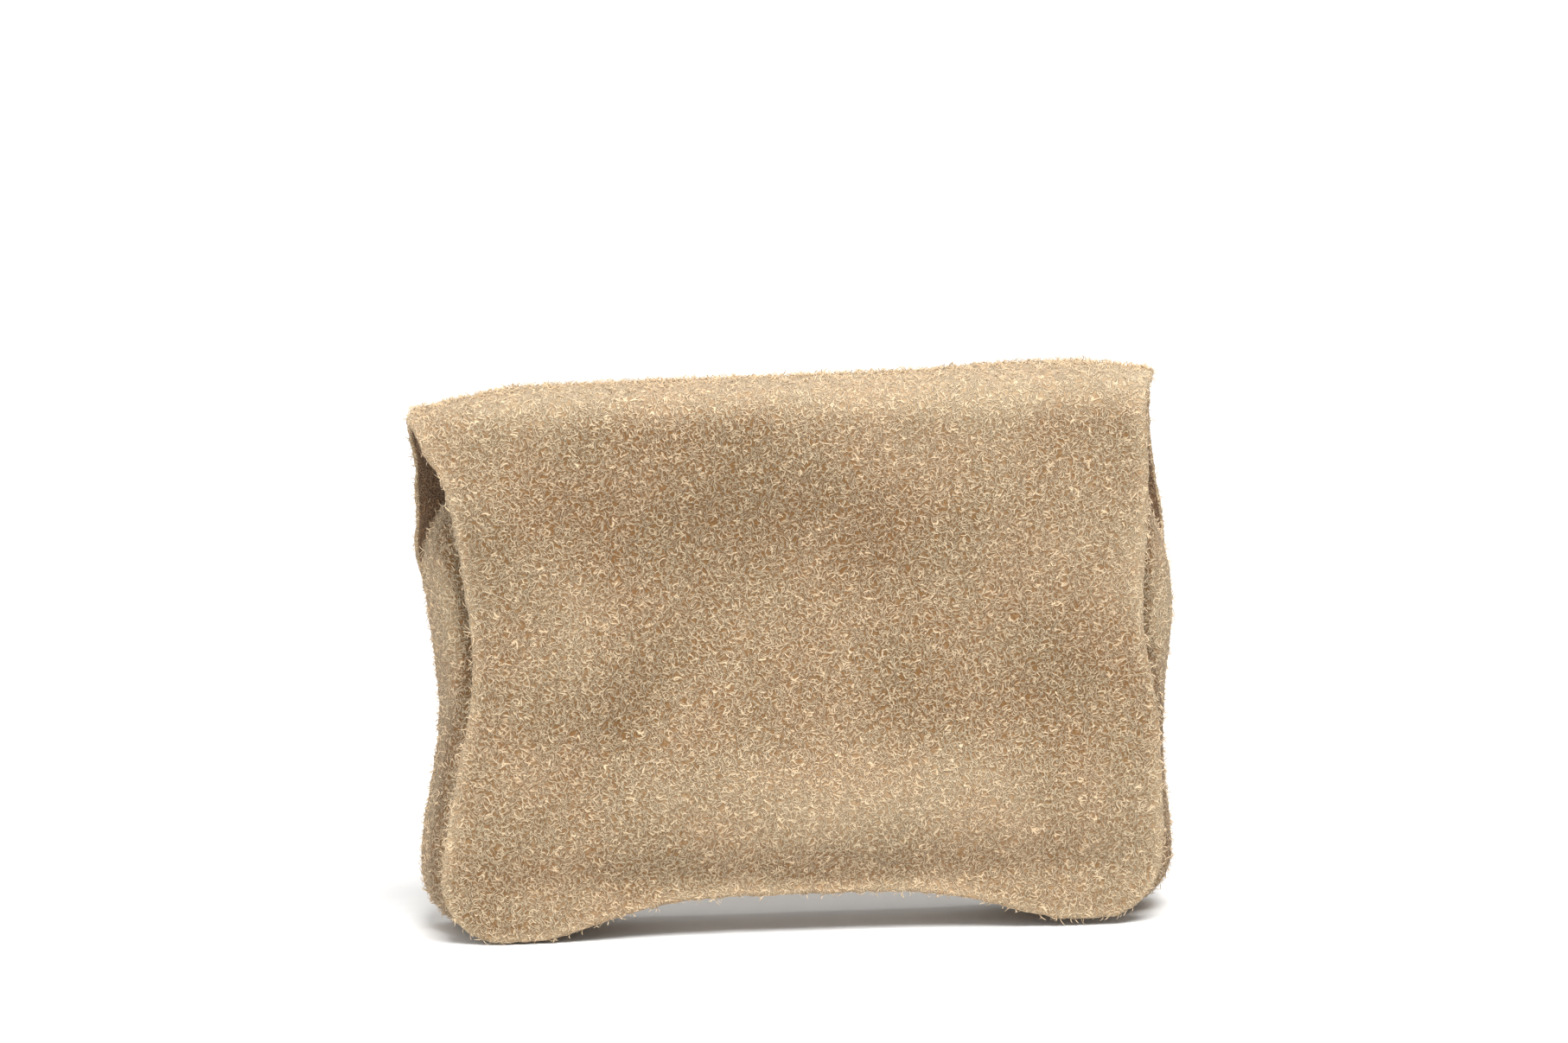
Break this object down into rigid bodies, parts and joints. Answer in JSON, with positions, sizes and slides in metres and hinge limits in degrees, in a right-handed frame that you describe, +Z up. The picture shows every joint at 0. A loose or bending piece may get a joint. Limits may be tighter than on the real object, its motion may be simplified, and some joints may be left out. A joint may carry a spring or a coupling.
{
  "type": "wristlet wallet",
  "caption": "Small suede wallet: a puffed pouch with a waisted outline, closed by a full-length flap with a hidden magnetic snap.",
  "frame": {"origin": "centre of the wallet's footprint, on the surface that it stands on", "axes": "+X across the wallet to the viewer's right, -Y out of the flap's face, +Z up"},
  "size_m": [0.12, 0.02, 0.088],
  "materials": {
    "suede_outer": "sand suede, napped",
    "suede_inner": "brown suede flesh side",
    "cotton": "plain cotton lining",
    "thread": "sand polyester thread",
    "snap_metal": "polished light brass plate",
    "magnet": "black sintered magnet",
    "washer_steel": "zinc-plated steel",
    "backing_felt": "non-woven reinforcement"
  },
  "bodies": {
    "pouch": {"back_panel": "suede_outer", "front_panel": "suede_outer", "lining_back": "cotton", "lining_front": "cotton", "card_pocket": "suede_inner", "card_pocket_thread": "thread", "body_seam_thread": "thread", "mouth_hem_thread": "thread", "snap_socket_shell": "snap_metal", "snap_socket_magnet": "magnet", "snap_socket_base": "snap_metal", "snap_socket_patch": "backing_felt", "snap_socket_washer": "washer_steel"},
    "fold": {"fold_outer": "suede_outer", "fold_lining": "suede_inner"},
    "flap": {"flap_outer": "suede_outer", "flap_lining": "suede_inner", "flap_seam_thread": "thread", "snap_stud_plate": "snap_metal", "snap_stud_patch": "backing_felt", "snap_stud_washer": "washer_steel"}
  },
  "joints": [
    {"name": "fold_hinge", "type": "hinge", "parent": "pouch", "child": "fold", "pos_m": [0, 0.0088, 0.086], "axis": [-1, 0, 0], "range_deg": [0, 90]},
    {"name": "flap_hinge", "type": "hinge", "parent": "fold", "child": "flap", "pos_m": [0, -0.008, 0.086], "axis": [-1, 0, 0], "range_deg": [0, 90]}
  ],
  "couplings": [
    {"joint": "fold_hinge", "follows": "flap_hinge", "ratio": 1}
  ]
}
